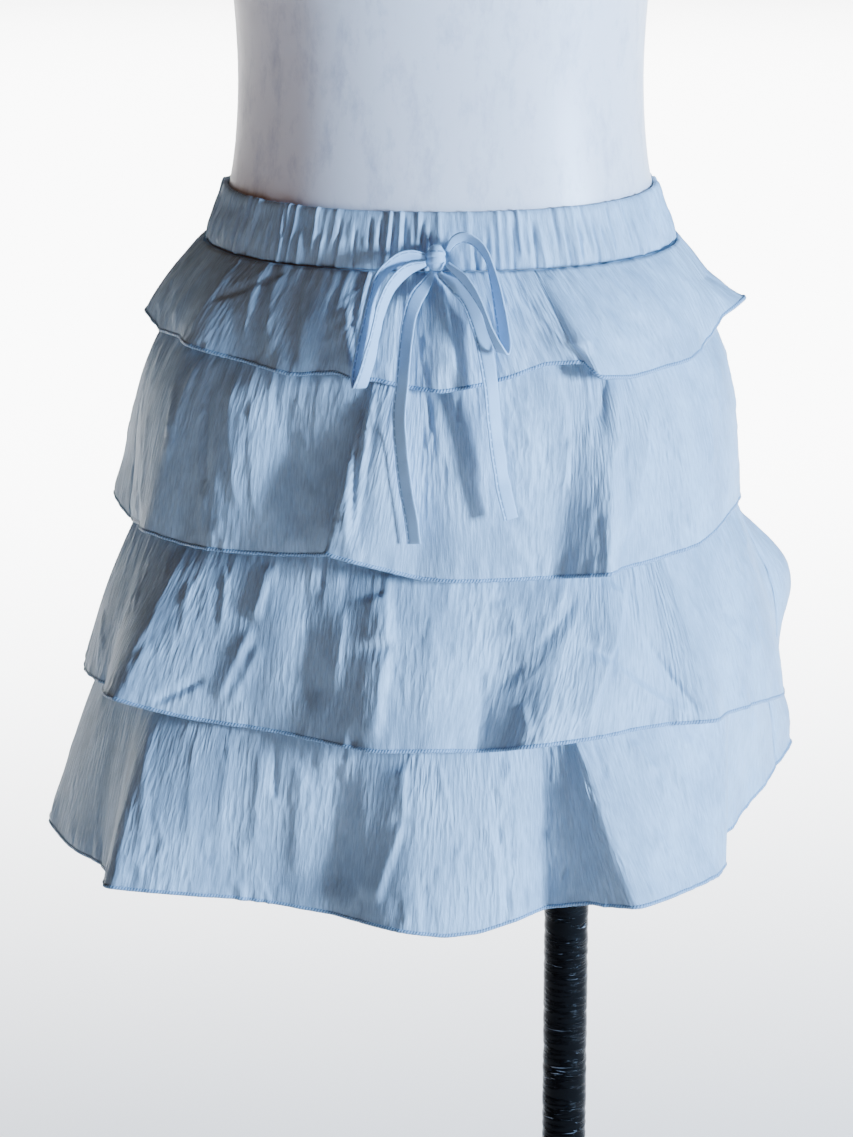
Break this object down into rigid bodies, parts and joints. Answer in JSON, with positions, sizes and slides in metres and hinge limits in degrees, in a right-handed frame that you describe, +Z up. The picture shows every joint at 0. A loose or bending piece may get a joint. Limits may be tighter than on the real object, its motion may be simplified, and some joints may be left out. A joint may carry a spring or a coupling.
{
  "type": "tiered skort on a dress form",
  "caption": "Pale blue crinkled skort of layered frills with a gathered elastic waistband and a tied bow, worn by a limbless dress form on a taped pole and round base.",
  "frame": {"origin": "centre of the stand base on the floor, under the middle of the form", "axes": "+Z up, -Y towards the front of the wearer, +X towards the wearer's left"},
  "size_m": [0.4433, 0.38, 1.265],
  "materials": {
    "skirt_cloth": "crisp crinkled light woven cloth with overlocked hems",
    "waistband_cloth": "the same cloth gathered over wide elastic",
    "shorts_cloth": "plain light woven cloth",
    "tie_cloth": "narrow folded strip stitched along its edge",
    "form_shell": "smooth satin off-white moulding with faint scuffs",
    "pole_tape": "glossy black tape wound round the pole",
    "stand_metal": "satin black"
  },
  "bodies": {
    "root": {"form_torso": "form_shell", "stand_base": "stand_metal", "stand_collar": "stand_metal", "stand_pole": "pole_tape", "form_socket": "stand_metal", "tier_1_front": "skirt_cloth", "tier_1_back": "skirt_cloth", "tier_2_front": "skirt_cloth", "tier_2_back": "skirt_cloth", "tier_3_front": "skirt_cloth", "tier_3_back": "skirt_cloth", "tier_4_front": "skirt_cloth", "tier_4_back": "skirt_cloth", "skirt_base_front": "skirt_cloth", "skirt_base_back": "skirt_cloth", "waistband": "waistband_cloth", "shorts_left": "shorts_cloth", "shorts_right": "shorts_cloth", "tie_knot": "tie_cloth", "tie_loop_left": "tie_cloth", "tie_loop_right": "tie_cloth", "tie_tail_left": "tie_cloth", "tie_tail_right": "tie_cloth"}
  },
  "joints": []
}
